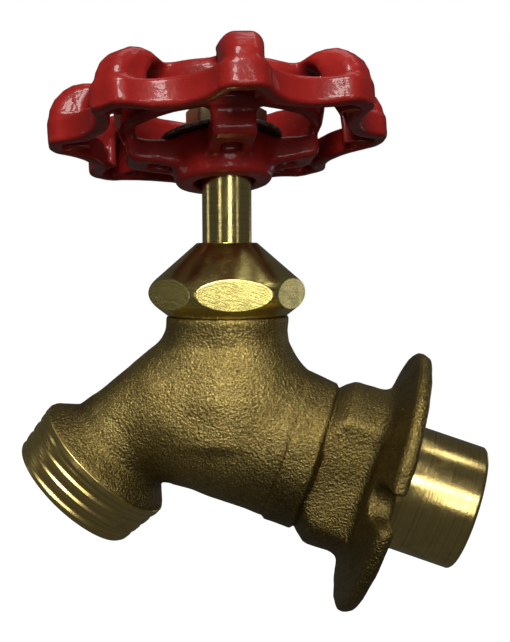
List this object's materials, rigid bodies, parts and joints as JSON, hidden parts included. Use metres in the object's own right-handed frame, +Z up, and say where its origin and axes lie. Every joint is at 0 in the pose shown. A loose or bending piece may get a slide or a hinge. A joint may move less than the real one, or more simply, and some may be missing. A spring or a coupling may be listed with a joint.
{
  "type": "hose bib",
  "caption": "Brass wall sillcock with flange, sweat inlet tail, angled hose-thread spout, hex packing nut, brass stem and red lobed handwheel.",
  "frame": {"origin": "centre of the flange's wall face, on the inlet axis", "axes": "+X along the inlet axis towards the wall and pipe, +Z up, the casting symmetric about Y = 0"},
  "size_m": [0.0912, 0.0594, 0.0932],
  "materials": {
    "cast_brass": "sand-cast, dull",
    "machined_brass": "turned, bright",
    "red_paint": "gloss",
    "dark_disc": "satin",
    "rubber": "matte",
    "packing": "matte"
  },
  "bodies": {
    "valve_body": {"body": "cast_brass", "packing_nut": "machined_brass", "packing_washer": "machined_brass", "packing_ring": "packing", "gland_ring": "machined_brass"},
    "seat_disc": {"seat_washer": "rubber"},
    "stem_and_wheel": {"stem": "machined_brass", "seat_screw": "machined_brass", "handwheel": "red_paint", "id_disc": "dark_disc", "handle_nut": "machined_brass"}
  },
  "joints": [
    {"name": "stem_lift", "type": "slide", "parent": "valve_body", "child": "seat_disc", "axis": [-0.319, 0, 0.9478], "range_m": [0, 0.006]},
    {"name": "stem_turn", "type": "hinge", "parent": "seat_disc", "child": "stem_and_wheel", "pos_m": [-0.0302, 0, 0], "axis": [-0.319, 0, 0.9478], "range_deg": [0, 1085]}
  ],
  "couplings": [
    {"joint": "stem_turn", "follows": "stem_lift", "rad_per_m": 3141.6}
  ]
}
